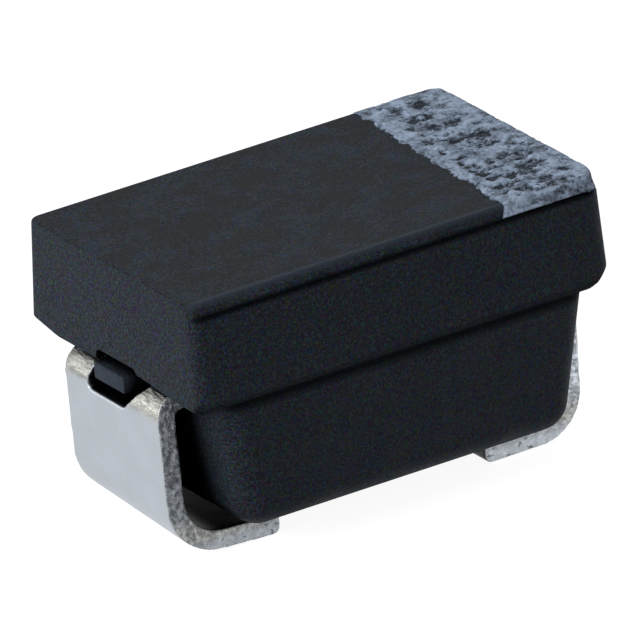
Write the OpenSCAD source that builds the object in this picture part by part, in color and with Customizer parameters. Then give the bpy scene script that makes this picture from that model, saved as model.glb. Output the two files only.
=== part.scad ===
// Moulded chip tantalum capacitor, EIA 2012-12 outline.
// Millimetres, +Z up. X runs along the length, with the anode (marked) end at +X.
// The origin is on the seating plane, under the middle of the case.

/* [Overall] */
// Length over the two terminals
chip_l = 2.0; // [1.96:0.01:2.1]
// Height of the top face above the board
chip_h = 1.2; // [1.16:0.01:1.26]
// Height of the parting plane, where the lead frame leaves the case
parting_z = 0.74; // [0.71:0.01:0.76]

/* [Case] */
// Length of the upper half at the parting plane
upper_l = 1.97; // [1.94:0.01:1.98]
// Width of the upper half at its widest
upper_w = 1.3; // [1.25:0.01:1.4]
// Draft of the upper half's end walls, degrees
upper_end_draft = 0.8; // [0.5:0.1:2]
// Draft of the upper half's long walls, degrees
upper_side_draft = 4.5; // [2:0.5:6]
// Width of the bevel along the top front edge
bevel_y = 0.032; // [0.02:0.002:0.05]
// Height of the bevel along the top front edge
bevel_z = 0.054; // [0.03:0.002:0.07]
// Height of the rounding under the upper half's long walls
upper_lip_z = 0.04; // [0.02:0.005:0.05]
// Radius of the upper half's upright corners
upper_corner_r = 0.06; // [0.03:0.005:0.08]
// How far the lower half's end walls stand back under the upper half
end_recess = 0.12; // [0.115:0.005:0.13]
// How far the lower half's long walls stand back under the upper half
side_step = 0.016; // [0.01:0.002:0.03]
// Draft of the lower half's end walls, degrees
lower_end_draft = 9; // [6:1:10]
// Draft of the lower half's long walls, degrees
lower_side_draft = 4.5; // [2:0.5:6]
// Radius of the lower half's upright corners and bottom edges
lower_r = 0.12; // [0.08:0.01:0.14]
// Gap between the top of a solder foot and the underside of the case
foot_gap = 0.05; // [0.03:0.01:0.06]

/* [Lead frame] */
// Thickness of the sheet, with its tin plate
sheet_t = 0.085; // [0.07:0.005:0.09]
// Width of the terminals outside the case
terminal_w = 0.7; // [0.66:0.02:0.9]
// Length of a terminal along the board, from its outermost point
foot_l = 0.51; // [0.42:0.01:0.55]
// Outer radius of the bend into the solder foot
foot_bend_r = 0.2; // [0.16:0.01:0.22]
// Outer radius of the bend under the overhang
shoulder_bend_r = 0.115; // [0.105:0.005:0.13]
// Angle of the terminal's upright, measured from the board
upright_angle = 88.5; // [87:0.5:90]

/* [Capacitor element] */
// Length of the sintered pellet
pellet_l = 0.86; // [0.7:0.01:0.88]
// Width of the sintered pellet
pellet_w = 0.74; // [0.6:0.01:0.8]
// Height of the sintered pellet
pellet_h = 0.46; // [0.4:0.01:0.48]
// Thickness of the manganese dioxide coat
dioxide_t = 0.015; // [0.01:0.005:0.02]
// Thickness of the graphite coat
graphite_t = 0.012; // [0.01:0.002:0.02]
// Thickness of the silver coat
silver_t = 0.02; // [0.015:0.005:0.025]
// Diameter of the anode wire
wire_d = 0.15; // [0.12:0.01:0.16]

/* [Hidden] */
$fn = 48;

far = 3;        // longer than any dimension of the part
thin = 0.001;   // thickness of the plates that a solid is wrapped round
plate_fn = 32;  // facets of a plate's corner disc

// Upper half
upper_x = upper_l / 2;
upper_y = upper_w / 2;
lip_inset = 0.028;
lip_top_z = parting_z + upper_lip_z;
bevel_foot_z = chip_h - bevel_z;
top_edge_r = 0.015;
function upper_wall_x(z) = upper_x - (z - parting_z) * tan(upper_end_draft);
function upper_wall_y(z) = upper_y - (z - lip_top_z) * tan(upper_side_draft);

// Lower half
case_bottom_z = sheet_t + foot_gap;
lower_x = upper_x - end_recess;
lower_y = upper_y - side_step;
least_corner_r = 0.02;
function lower_wall_x(z) = lower_x - (parting_z - z) * tan(lower_end_draft);
function lower_wall_y(z) = lower_y - (parting_z - z) * tan(lower_side_draft);

// Corners broken off under the overhang, each by flat cuts: run along the end, along the side, rise
front_anode_cuts = [[0.28, 0.145, 0.076], [0.24, 0.126, 0.109], [0.2, 0.086, 0.136],
                    [0.12, 0.041, 0.192]];
rear_cathode_cuts = [[0.25, 0.13, 0.045]];

// Slot stamped in each terminal, the moulded lug that fills it and the pocket above the lug
slot_floor_z = parting_z - 0.14;
slot_rear_y = 0.155;
slot_rear_lean = 20;
slot_front_y = -0.08;
slot_flare = 0.16;
slot_floor_r = 0.05;
slot_inner_x = chip_l / 2 - 0.2;
strap_inner_x = slot_inner_x - 0.04;
lug_front_y = -0.08;
lug_rear_y = 0.145;
lug_outer_x = chip_l / 2 - 0.015;
lug_root = 0.05;
pocket_front_y = -0.165;
pocket_rear_y = 0.16;
pocket_h = 0.05;
pocket_inner_x = lower_x + 0.03;
pocket_r = 0.02;

// Polarity band, a laser-marked skin at the anode end of the top
band_inner_x = 0.55;
band_slant = 0.062;
band_t = 0.012;

// Element, on the wire's axis
wire_r = wire_d / 2;
wire_sink = 0.015;
element_z = parting_z + wire_r - wire_sink;
element_x = -0.143;
pellet_chamfer = 0.03;
coats_t = dioxide_t + graphite_t + silver_t;
pellet_face_x = element_x + pellet_l / 2;
wire_inner_x = element_x - 0.12;
wire_outer_x = 0.7;
washer_r = 0.13;
washer_t = 0.04;
anode_tab_x = 0.5;
anode_tab_w = 0.36;
weld_x = 0.6;
weld_l = 0.12;
weld_half_w = 0.11;
weld_top_r = 0.165;

// Cathode paddle, under the element
adhesive_t = 0.02;
adhesive_w = 0.5;
adhesive_chamfer = 0.06;
element_bottom_z = element_z - pellet_h / 2 - coats_t;
paddle_top_z = element_bottom_z - adhesive_t;
paddle_w = 0.58;
paddle_end_x = 0.1;
jog_angle = 70;
jog_r = 0.03;
jog_x = -(lower_x - 0.07);

// ---- Shared shapes ----

// The corner discs of a plate: level is [z, half length, front reach, rear reach, corner radius].
module plate_corners(level) {
    r = level[4];
    for (x = [-level[1] + r, level[1] - r], y = [-level[2] + r, level[3] - r])
        translate([x, y, level[0]]) cylinder(r = r, h = thin, $fn = plate_fn);
}

// The solid wrapped round a stack of plates.
module wrapped(levels) {
    hull()
        for (level = levels) plate_corners(level);
}

// Cuts for one rounded corner of a polygon, between its neighbours a and b.
module corner_waste(p, a, b, r) {
    u = (a - p) / norm(a - p);
    v = (b - p) / norm(b - p);
    half = acos(u * v) / 2;
    centre = p + (u + v) / norm(u + v) * r / sin(half);
    reach = r / tan(half);
    difference() {
        polygon([p + (p - centre) * 0.2, p + u * reach, centre, p + v * reach]);
        translate(centre) circle(r);
    }
}

module rounded_polygon(points, radii) {
    n = len(points);
    difference() {
        polygon(points);
        for (i = [0:n - 1])
            if (radii[i] > 0)
                corner_waste(points[i], points[(i + n - 1) % n], points[(i + 1) % n], radii[i]);
    }
}

// Stands an outline drawn in Y and Z upright, from x0 to x1.
module along_x(x0, x1) {
    translate([x0, 0, 0])
        rotate([90, 0, 90])
            linear_extrude(x1 - x0)
                children();
}

// Stands an outline drawn in X and Z upright, width w, centred on Y.
module along_y(w) {
    rotate([90, 0, 0])
        linear_extrude(w, center = true)
            children();
}

// ---- Sheet metal: each piece draws itself and carries the next one at its end ----

module run(length) {
    translate([0, -sheet_t / 2]) square([length, sheet_t]);
    translate([length, 0]) children();
}

// A bend to the left for a positive angle; r is its inner radius.
module bend(angle, r) {
    side = sign(angle);
    mid = r + sheet_t / 2;
    reach = 2 * (r + sheet_t);
    translate([0, side * mid]) {
        intersection() {
            difference() {
                circle(r + sheet_t);
                circle(r);
            }
            polygon([[0, 0], [0, -side * reach],
                     reach * [sin(abs(angle) / 2), -side * cos(abs(angle) / 2)],
                     reach * [sin(abs(angle)), -side * cos(abs(angle))]]);
        }
        rotate(angle) translate([0, -side * mid]) children();
    }
}

// Centre-line radii, and the straight lengths that land the shoulder on the parting plane.
foot_mid_r = foot_bend_r - sheet_t / 2;
shoulder_mid_r = shoulder_bend_r - sheet_t / 2;
upright_l = (parting_z - sheet_t - foot_mid_r * (1 - cos(upright_angle))
             - shoulder_mid_r * (1 + cos(upright_angle))) / sin(upright_angle);
upright_reach = foot_mid_r * sin(upright_angle) + upright_l * cos(upright_angle)
                + shoulder_mid_r * (1 - sin(upright_angle)) + sheet_t / 2;
foot_flat_l = foot_l - upright_reach;
shoulder_x = chip_l / 2 - shoulder_bend_r;

// Side outline of a terminal, from the inner end of its foot up to the parting plane.
module terminal_outline() {
    translate([chip_l / 2 - foot_l, sheet_t / 2])
        run(foot_flat_l)
        bend(upright_angle, foot_bend_r - sheet_t)
        run(upright_l)
        bend(180 - upright_angle, shoulder_bend_r - sheet_t)
        children();
}

// The slot stamped through the shoulder, seen along X; its rear wall leans to the front as it rises.
module slot_outline() {
    top = parting_z + sheet_t;
    lean = tan(slot_rear_lean);
    rounded_polygon([[slot_front_y, slot_floor_z],
                     [slot_rear_y + (parting_z - slot_floor_z) * lean, slot_floor_z],
                     [slot_rear_y - (top - parting_z) * lean, top],
                     [slot_front_y - slot_flare, top],
                     [slot_front_y - slot_flare, slot_floor_z + slot_flare]],
                    [slot_floor_r / 2, slot_floor_r, 0, 0, 0]);
}

// Full width outside the case and inner_w inside it, from inner_x out, with the slot.
module terminal_blank(inner_w, inner_x) {
    difference() {
        intersection() {
            along_y(terminal_w) children();
            union() {
                translate([strap_inner_x, -far / 2, -far / 2]) cube(far);
                translate([0, -far / 2, case_bottom_z - far]) cube(far);
                translate([inner_x, -inner_w / 2, 0]) cube([far, inner_w, far]);
            }
        }
        along_x(slot_inner_x, far) slot_outline();
    }
}

// ---- Case ----

module upper_half() {
    lip_steps = 3;
    top_y = upper_wall_y(chip_h);
    difference() {
        wrapped(concat(
            [for (i = [0:lip_steps])
                let (a = 90 * i / lip_steps, z = parting_z + upper_lip_z * (1 - cos(a)),
                     y = upper_y - lip_inset * (1 - sin(a)))
                [z, upper_wall_x(z), y, y, upper_corner_r]],
            [for (z = [bevel_foot_z])
                [z, upper_wall_x(z), upper_wall_y(z), upper_wall_y(z), upper_corner_r]],
            [for (z = [chip_h - top_edge_r])
                [z, upper_wall_x(z), upper_wall_y(z) - bevel_y * (1 - top_edge_r / bevel_z),
                 upper_wall_y(z), upper_corner_r]],
            [[chip_h - thin, upper_wall_x(chip_h) - top_edge_r, top_y - bevel_y, top_y - top_edge_r,
              upper_corner_r]]
        ));
        for (cut = front_anode_cuts) corner_cut(1, -1, cut);
        for (cut = rear_cathode_cuts) corner_cut(-1, 1, cut);
        for (side = [0, 1]) mirror([side, 0, 0]) lug_pocket();
    }
}

// A flat cut across a corner under the overhang, as the tetrahedron it takes away. The corner is
// named by the signs of its x and y, which differ; the cut runs on past all three faces by clear.
module corner_cut(sign_x, sign_y, cut) {
    clear = 0.02;
    grow = 1 + clear / cut[0] + clear / cut[1] + clear / cut[2];
    tip = [sign_x * (upper_x + clear), sign_y * (upper_y + clear), parting_z - clear];
    polyhedron([tip, tip - [sign_x * cut[1] * grow, 0, 0], tip - [0, sign_y * cut[0] * grow, 0],
                tip + [0, 0, cut[2] * grow]],
               [[0, 1, 2], [0, 3, 1], [0, 2, 3], [1, 3, 2]]);
}

module lug_pocket() {
    along_x(pocket_inner_x, far)
        rounded_polygon([[pocket_front_y, parting_z - pocket_h], [pocket_rear_y, parting_z - pocket_h],
                         [pocket_rear_y, parting_z + pocket_h], [pocket_front_y, parting_z + pocket_h]],
                        [0, 0, pocket_r, pocket_r]);
}

module lower_half() {
    steps = 5;
    edge_z = case_bottom_z + lower_r;
    wrapped(concat(
        [[parting_z, lower_x, lower_y, lower_y, lower_r]],
        [for (i = [0:steps])
            let (a = 90 * i / steps, inset = lower_r * (1 - cos(a)), y = lower_wall_y(edge_z) - inset)
            [edge_z - lower_r * sin(a), lower_wall_x(edge_z) - inset, y, y,
             max(lower_r - inset, least_corner_r)]]
    ));
}

module lug() {
    x0 = slot_inner_x - lug_root;
    translate([x0, lug_front_y, parting_z - sheet_t])
        cube([lug_outer_x - x0, lug_rear_y - lug_front_y, sheet_t]);
}

module case() {
    color([0.16, 0.17, 0.19])
        difference() {
            union() {
                upper_half();
                lower_half();
                for (side = [0, 1]) mirror([side, 0, 0]) lug();
            }
            polarity_band();
            cathode_terminal();
            anode_terminal();
            element(coats_t, coats_t, dioxide_t);
            anode_wire();
            silver_adhesive();
            insulating_washer();
            weld_bead();
        }
}

// Skin over the top face and down the bevel, as deep as the mark; its inner border is slanted.
module polarity_band() {
    yt = upper_wall_y(chip_h);
    yb = upper_wall_y(bevel_foot_z);
    slope = norm([yb - yt + bevel_y, bevel_z]);
    inward = band_t * [bevel_z, bevel_y - yt + yb] / slope;
    border = band_slant * upper_y;
    color([0.62, 0.66, 0.72])
        intersection() {
            upper_half();
            linear_extrude(chip_h)
                polygon([[band_inner_x - border, -upper_y], [upper_x, -upper_y],
                         [upper_x, upper_y], [band_inner_x + border, upper_y]]);
            along_x(0, upper_x)
                polygon([[yt, chip_h], [yt, chip_h - band_t], [-yt + bevel_y + band_t / 2, chip_h - band_t],
                         [-yb, bevel_foot_z] + [inward[0], -inward[1]], [-yb, bevel_foot_z],
                         [-yb, chip_h]]);
        }
}

// ---- Terminals ----

module anode_terminal() {
    color([0.78, 0.8, 0.82])
        difference() {
            terminal_blank(anode_tab_w, anode_tab_x)
                terminal_outline()
                run(shoulder_x - anode_tab_x);
            anode_wire();
        }
}

module cathode_terminal() {
    drop = parting_z - paddle_top_z;
    jog_mid = jog_r + sheet_t / 2;
    jog_l = (drop - 2 * jog_mid * (1 - cos(jog_angle))) / sin(jog_angle);
    jog_reach = 2 * jog_mid * sin(jog_angle) + jog_l * cos(jog_angle);
    color([0.78, 0.8, 0.82])
        mirror([1, 0, 0])
            terminal_blank(paddle_w, -paddle_end_x)
                terminal_outline()
                run(shoulder_x + jog_x)
                bend(jog_angle, jog_r)
                run(jog_l)
                bend(-jog_angle, jog_r)
                run(-jog_x - jog_reach + paddle_end_x);
}

// ---- Capacitor element ----

// The pellet's block, grown by g all round, by g_back at the cathode end and g_face at the wire.
module element(g, g_back, g_face) {
    half_w = pellet_w / 2 + g;
    half_h = pellet_h / 2 + g;
    c = pellet_chamfer + g * (2 - sqrt(2));
    x0 = pellet_face_x - pellet_l - g_back;
    translate([0, 0, element_z])
        along_x(x0, pellet_face_x + g_face)
            polygon([[-half_w + c, -half_h], [half_w - c, -half_h], [half_w, -half_h + c],
                     [half_w, half_h - c], [half_w - c, half_h], [-half_w + c, half_h],
                     [-half_w, half_h - c], [-half_w, -half_h + c]]);
}

module tantalum_pellet() {
    color([0.3, 0.3, 0.32])
        difference() {
            element(0, 0, 0);
            anode_wire();
        }
}

module anode_wire() {
    color([0.55, 0.56, 0.6])
        translate([wire_inner_x, 0, element_z])
            rotate([0, 90, 0])
                cylinder(r = wire_r, h = wire_outer_x - wire_inner_x);
}

// Covers the pellet all round, up to the wire.
module manganese_dioxide_coat() {
    color([0.2, 0.19, 0.18])
        difference() {
            element(dioxide_t, dioxide_t, dioxide_t);
            element(0, 0, 0);
            anode_wire();
        }
}

// Cup that leaves the wire's face bare.
module graphite_coat() {
    inner = dioxide_t;
    outer = dioxide_t + graphite_t;
    color([0.12, 0.12, 0.13])
        difference() {
            element(outer, outer, dioxide_t);
            element(inner, inner, dioxide_t);
        }
}

// Cup that leaves the wire's face bare.
module silver_coat() {
    inner = dioxide_t + graphite_t;
    color([0.72, 0.72, 0.7])
        difference() {
            element(coats_t, coats_t, dioxide_t);
            element(inner, inner, dioxide_t);
        }
}

module silver_adhesive() {
    x0 = element_x - pellet_l / 2;
    x1 = paddle_end_x - adhesive_chamfer;
    half = adhesive_w / 2;
    c = adhesive_chamfer;
    color([0.66, 0.66, 0.64])
        translate([0, 0, paddle_top_z])
            linear_extrude(adhesive_t)
                polygon([[x0, -half + c], [x0 + c, -half], [x1 - c, -half], [x1, -half + c],
                         [x1, half - c], [x1 - c, half], [x0 + c, half], [x0, half - c]]);
}

module insulating_washer() {
    color([0.92, 0.92, 0.9])
        translate([pellet_face_x + dioxide_t, 0, element_z])
            rotate([0, 90, 0])
                difference() {
                    cylinder(r = washer_r, h = washer_t);
                    translate([0, 0, -washer_t]) cylinder(r = wire_r, h = 3 * washer_t);
                }
}

// Saddle of melted metal over the wire, on the anode terminal's tab.
module weld_bead() {
    color([0.5, 0.5, 0.52])
        difference() {
            intersection() {
                translate([weld_x - weld_l / 2, 0, parting_z])
                    rotate([0, 90, 0]) cylinder(r = weld_top_r, h = weld_l);
                translate([weld_x - weld_l / 2, -weld_half_w, parting_z])
                    cube([weld_l, 2 * weld_half_w, far]);
            }
            anode_wire();
        }
}

case();
polarity_band();
cathode_terminal();
anode_terminal();
tantalum_pellet();
anode_wire();
manganese_dioxide_coat();
graphite_coat();
silver_coat();
silver_adhesive();
insulating_washer();
weld_bead();
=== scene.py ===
"""Finished pieces of a moulded chip tantalum capacitor, built round the CAD frame, and their stage.

Everything on the object is modelled at a bench scale of 1000 : 1, so one unit is one millimetre, and is
brought to its real size when it is finished. The edit-mode tools have fixed tolerances that are too coarse
for metres here. Finishes see places in bench millimetres too.
"""

import math
from functools import reduce
from types import SimpleNamespace

import bmesh
import bpy
from bpy.props import FloatProperty, FloatVectorProperty, PointerProperty
from mathutils import Matrix, Vector, noise


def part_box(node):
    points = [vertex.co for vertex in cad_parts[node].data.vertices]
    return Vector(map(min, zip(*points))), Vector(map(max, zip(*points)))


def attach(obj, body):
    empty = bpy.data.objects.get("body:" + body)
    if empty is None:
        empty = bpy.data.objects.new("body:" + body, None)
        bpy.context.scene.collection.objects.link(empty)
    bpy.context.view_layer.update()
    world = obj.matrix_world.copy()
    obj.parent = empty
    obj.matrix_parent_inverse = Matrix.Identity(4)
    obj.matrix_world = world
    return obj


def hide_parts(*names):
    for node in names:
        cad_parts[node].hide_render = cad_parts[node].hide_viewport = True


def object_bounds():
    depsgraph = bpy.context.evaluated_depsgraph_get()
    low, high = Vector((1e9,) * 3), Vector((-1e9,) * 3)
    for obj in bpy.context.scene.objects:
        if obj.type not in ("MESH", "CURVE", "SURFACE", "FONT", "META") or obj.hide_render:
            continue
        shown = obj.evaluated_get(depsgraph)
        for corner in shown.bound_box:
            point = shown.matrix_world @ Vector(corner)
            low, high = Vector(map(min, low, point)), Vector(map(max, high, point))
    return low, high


bl_info = {
    "name": "Moulded chip capacitor",
    "version": (1, 0, 0),
    "blender": (4, 5, 0),
    "location": "3D View > Sidebar > Chip capacitor",
    "description": "Models the case, mark and lead frame of a moulded chip capacitor, and its studio",
    "category": "Add Mesh",
}

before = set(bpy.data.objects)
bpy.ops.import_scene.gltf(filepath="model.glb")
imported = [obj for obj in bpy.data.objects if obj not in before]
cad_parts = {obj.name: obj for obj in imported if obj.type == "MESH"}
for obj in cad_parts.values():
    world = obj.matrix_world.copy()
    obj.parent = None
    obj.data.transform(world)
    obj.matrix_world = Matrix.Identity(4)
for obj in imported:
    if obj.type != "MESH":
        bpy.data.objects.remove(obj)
cad_low, cad_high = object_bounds()

BENCH = 1000.0
BODY = "root"
HIDDEN_NODES = {
    "tantalum_pellet": "sintered_metal",
    "anode_wire": "drawn_wire",
    "manganese_dioxide_coat": "oxide_coat",
    "graphite_coat": "graphite_paint",
    "silver_coat": "silver_paint",
    "silver_adhesive": "silver_paint",
    "insulating_washer": "washer_plastic",
    "weld_bead": "weld_metal",
}


# ---- Sizes and colours ----


def length(name, description, default, high=0.01):
    """A size in metres that the panel shows."""
    return FloatProperty(name=name, description=description, default=default, min=0.0, max=high,
                         precision=6, unit="LENGTH", subtype="DISTANCE")


def degrees(name, description, default):
    """An angle that the panel shows in degrees."""
    return FloatProperty(name=name, description=description, default=math.radians(default),
                         unit="ROTATION", subtype="ANGLE")


def number(name, description, default):
    return FloatProperty(name=name, description=description, default=default)


def colour(name, description, default):
    return FloatVectorProperty(name=name, description=description, default=default, size=3, min=0.0, max=1.0,
                               subtype="COLOR")


class ChipCaseSizes(bpy.types.PropertyGroup):
    """Sizes of the moulded case."""

    upper_length: length("Upper length", "Length of the upper half at the parting plane", 0.00199)
    upper_end_draft: degrees("Upper end draft", "Draft of the upper half's end walls", 0.8)
    side_draft: degrees("Side draft", "Draft of the long walls of both halves", 4.5)
    lip: length("Lip height", "Height of the rounding under the upper half's long walls", 0.00004)
    lip_inset: length("Lip inset", "Width of the rounding under the upper half's long walls", 0.000028)
    bevel_width: length("Bevel width", "Width of the bevel along the top front edge", 0.000032)
    bevel_height: length("Bevel height", "Height of the bevel along the top front edge", 0.000054)
    corner: length("Upright corners", "Radius of the upper half's upright corners", 0.00006)
    worn_corner: length("Worn corner", "Radius of the upright corner over the broken one", 0.00010)
    end_recess: length("End recess", "How far the lower half stands back at each end", 0.00012)
    side_step: length("Side step", "How far the lower half stands back at each side", 0.000016)
    lower_end_draft: degrees("Lower end draft", "Draft of the lower half's end walls", 9.0)
    lower_edge: length("Lower edges", "Radius of the lower half's corners and bottom edges", 0.00011)
    crisp_edge: length("Crisp edges", "Radius that the mould leaves on a sharp edge", 0.000009)


class ChipLeadSizes(bpy.types.PropertyGroup):
    """Sizes of the lead frame outside the case."""

    sheet: length("Sheet", "Thickness of the tinned sheet", 0.000085)
    width: length("Width", "Width of the terminals outside the case", 0.0007)
    foot_length: length("Foot length", "Length of the anode terminal along the board", 0.000483)
    cathode_foot: length("Cathode foot", "Length of the cathode terminal along the board", 0.00053)
    offset: length("Offset", "How far the lead frame sits off the middle, towards the cathode", 0.000023)
    toe_drop: length("Toe drop", "How far a foot's inner end hangs down, which lifts the part", 0.000014)
    anode_sag: length("Anode sag", "How far the anode terminal's heel hangs down", 0.000009)
    skew: length("Skew", "How much higher the cathode terminal's heel is behind than in front", 0.00005)
    foot_bend: length("Foot bend", "Outer radius of the anode terminal's bend into its foot", 0.0002)
    cathode_bend: length("Cathode bend", "Outer radius of the cathode terminal's bend into its foot", 0.00026)
    shoulder_bend: length("Shoulder bend", "Outer radius of the bend under the overhang", 0.000115)
    upright_angle: degrees("Upright angle", "Angle of the upright, measured from the board", 88.5)
    mesh_size: length("Mesh size", "Edge length of the finished mesh", 0.0000068)


class ChipMarkSizes(bpy.types.PropertyGroup):
    """Sizes of the polarity mark."""

    skin: length("Depth", "Depth of the marked skin", 0.000012)
    relief: length("Relief", "Height of the laser's burn marks", 0.000008)
    sunk: length("Sunk", "How far the skin rises where it is burnt, and sinks elsewhere", 0.000004)
    mesh_size: length("Mesh size", "Edge length of the finished mesh", 0.0000062)
    start: length("Inner border", "Where the mark begins along X, at the middle of the top", 0.00055)
    fringe: length("Fringe", "How far the skin runs on under the case's surface past the border", 0.00004)
    slant: number("Slant", "How far the inner border runs off square, in X for Y", 0.062)


class ChipColours(bpy.types.PropertyGroup):
    """Colours of the finishes."""

    epoxy: colour("Moulded epoxy", "Black filled epoxy", (0.0215, 0.0280, 0.0390))
    mark: colour("Laser mark", "Epoxy that the laser has burnt pale", (0.61, 0.76, 1.0))
    tin: colour("Tin plate", "Matt tin over the rolled faces", (0.425, 0.46, 0.50))
    sheared: colour("Sheared edge", "Sheet cut through by the punch", (0.36, 0.385, 0.42))


class ChipStage(bpy.types.PropertyGroup):
    """View and light."""

    azimuth: degrees("Azimuth", "Direction that the camera stands in, from -Y towards +X", -30.9)
    elevation: degrees("Elevation", "Height of the camera above the horizon", 23.5)
    roll: degrees("Roll", "Turn of the camera about its own axis", 4.65)
    view_width: length("View width", "Width that the picture takes in at the object", 0.0025754)
    distance: length("Distance", "Distance from the camera to the object", 0.11, high=1.0)
    key: number("Key light", "Strength of the lamp at the cathode end", 5.0)
    top: number("Top light", "Strength of the lamp overhead", 0.55)
    rim: number("Rim light", "Strength of the lamp behind the cathode end", 2.0)
    sky: number("Sky", "Strength of the even light all round", 0.22)


# ---- Bench tools: each works on one object in bench millimetres ----


def start_clean():
    """Object mode, with nothing selected."""
    if bpy.context.mode != "OBJECT":
        bpy.ops.object.mode_set(mode="OBJECT")
    bpy.ops.object.select_all(action="DESELECT")


def leave_edit():
    bpy.ops.object.mode_set(mode="OBJECT")


def take(piece):
    """Object mode, with only this piece selected and active."""
    start_clean()
    bpy.context.view_layer.objects.active = piece
    piece.select_set(True)


def new_block(name, corner, opposite):
    """A block between two opposite corners."""
    start_clean()
    middle = [(a + b) / 2 for a, b in zip(corner, opposite)]
    size = [abs(b - a) for a, b in zip(corner, opposite)]
    bpy.ops.mesh.primitive_cube_add(size=1, location=middle, scale=size)
    block = bpy.context.object
    block.name = block.data.name = name
    bpy.ops.object.transform_apply(location=True, rotation=True, scale=True)
    return block


def pick(piece, kind, test, least=1):
    """Edit mode, with only the faces or edges that pass the test selected."""
    take(piece)
    bpy.ops.object.mode_set(mode="EDIT")
    bpy.ops.mesh.select_mode(type={"faces": "FACE", "edges": "EDGE"}[kind])
    bpy.ops.mesh.select_all(action="DESELECT")
    mesh = bmesh.from_edit_mesh(piece.data)
    mesh.normal_update()
    found = [part for part in getattr(mesh, kind) if test(part)]
    if len(found) < least:
        raise RuntimeError(f"{piece.name}: {len(found)} {kind} were found where {least} are needed")
    for part in found:
        part.select_set(True)
    mesh.select_flush_mode()
    bmesh.update_edit_mesh(piece.data)


def pick_all(piece):
    take(piece)
    bpy.ops.object.mode_set(mode="EDIT")
    bpy.ops.mesh.select_all(action="SELECT")


def round_edges(piece, test, radius, segments, least=1):
    pick(piece, "edges", test, least)
    bpy.ops.mesh.bevel(offset_type="OFFSET", offset=radius, segments=segments, profile=0.5,
                       affect="EDGES", clamp_overlap=False)
    leave_edit()


def taper(piece, at_face, scale):
    """Draws in the face that passes the test, about the Z axis."""
    pick(piece, "faces", at_face)
    bpy.ops.transform.resize(value=scale, center_override=(0, 0, 0))
    leave_edit()


def plane_through(a, b, c, outside):
    """A point and a normal for the plane through three points, with the normal towards the point outside."""
    a, b, c, outside = Vector(a), Vector(b), Vector(c), Vector(outside)
    normal = (b - a).cross(c - a).normalized()
    return a, normal if (outside - a).dot(normal) > 0 else -normal


def slice_off(piece, point, normal):
    """Cuts away what lies beyond a plane and closes the cut."""
    pick_all(piece)
    bpy.ops.mesh.bisect(plane_co=point, plane_no=normal, use_fill=True, clear_outer=True, threshold=1e-6)
    leave_edit()


def modify(piece, kind, **settings):
    """Applies a modifier with these settings."""
    modifier = piece.modifiers.new(kind.lower(), kind)
    for name, value in settings.items():
        setattr(modifier, name, value)
    take(piece)
    bpy.ops.object.modifier_apply(modifier=modifier.name)


def combine(piece, other, operation):
    """Joins or cuts with another solid, which is used up."""
    modify(piece, "BOOLEAN", operation=operation, solver="EXACT", object=other)
    take(other)
    bpy.ops.object.delete()
    if not piece.data.polygons:
        raise RuntimeError(f"{piece.name}: nothing is left after {operation}")


def merge_close(piece, distance):
    pick_all(piece)
    bpy.ops.mesh.remove_doubles(threshold=distance)
    leave_edit()


def remesh(piece, size):
    """An even mesh of small squares over the same solid."""
    modify(piece, "REMESH", mode="VOXEL", voxel_size=size, use_smooth_shade=True)


def weigh(piece, name, rule):
    """A vertex group, and a mask for the shaders, from a rule on place and normal that gives 0 to 1."""
    weights = [max(0.0, min(1.0, rule(v.co, v.normal))) for v in piece.data.vertices]
    group = piece.vertex_groups.new(name=name)
    for index, weight in enumerate(weights):
        if weight > 0.0:
            group.add([index], weight, "REPLACE")
    attribute = piece.data.attributes.new(name + "_mask", "FLOAT", "POINT")
    attribute.data.foreach_set("value", weights)


def ramp(value, start, end):
    """0 before start, 1 after end and smooth between, either way round."""
    t = max(0.0, min(1.0, (value - start) / (end - start)))
    return t * t * (3 - 2 * t)


def emboss(piece, height, grain, group=""):
    """Raises and sinks the surface along its normals by a soft random pattern."""
    texture = bpy.data.textures.new("relief", "CLOUDS")
    texture.noise_scale = grain
    texture.noise_depth = 2
    modify(piece, "DISPLACE", texture=texture, texture_coords="LOCAL", strength=height, mid_level=0.5,
           vertex_group=group)
    bpy.data.textures.remove(texture)


def swell(piece, height, group, direction="NORMAL"):
    """Moves each vertex along its normal, or along an axis, as far as it belongs to a group."""
    modify(piece, "DISPLACE", direction=direction, strength=height, mid_level=0.0, vertex_group=group)


def normals_out(piece):
    pick_all(piece)
    bpy.ops.mesh.normals_make_consistent(inside=False)
    leave_edit()


def bench_box(name):
    """Lowest and highest corner of a CAD node, in bench millimetres."""
    low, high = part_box(name)
    return low * BENCH, high * BENCH


def parting_height():
    """Where the two halves of the mould met, which is the top of both terminals."""
    return bench_box("cathode_terminal")[1].z


def deliver(piece, name, replaces, material, along=0.0, smooth_angle=None):
    """Brings a piece to real size and hands it to the frame with its finish; along is a last shift in X."""
    take(piece)
    piece.scale = (1 / BENCH,) * 3
    piece.location = (along, 0, bpy.context.scene.chip_leads.toe_drop)
    bpy.ops.object.transform_apply(location=True, rotation=True, scale=True)
    if smooth_angle is None:
        bpy.ops.object.shade_smooth()
    else:
        bpy.ops.object.shade_smooth_by_angle(angle=math.radians(smooth_angle))
        modify(piece, "WEIGHTED_NORMAL", keep_sharp=True)
    piece.name = piece.data.name = name
    piece.data.materials.clear()
    piece.data.materials.append(material)
    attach(piece, BODY)
    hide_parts(replaces)


# ---- Shader tools ----


def feed(tree, socket, value):
    """Gives a socket its value, which is a plain one or the output that feeds it."""
    if isinstance(value, bpy.types.NodeSocket):
        tree.links.new(value, socket)
    else:
        socket.default_value = value


def fill(tree, made, inputs):
    for key, value in inputs.items():
        feed(tree, made.inputs[key], value)


def node(tree, kind, inputs=None, **settings):
    """A node with its settings and inputs."""
    made = tree.nodes.new(kind)
    for key, value in settings.items():
        setattr(made, key, value)
    fill(tree, made, inputs or {})
    return made


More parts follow.
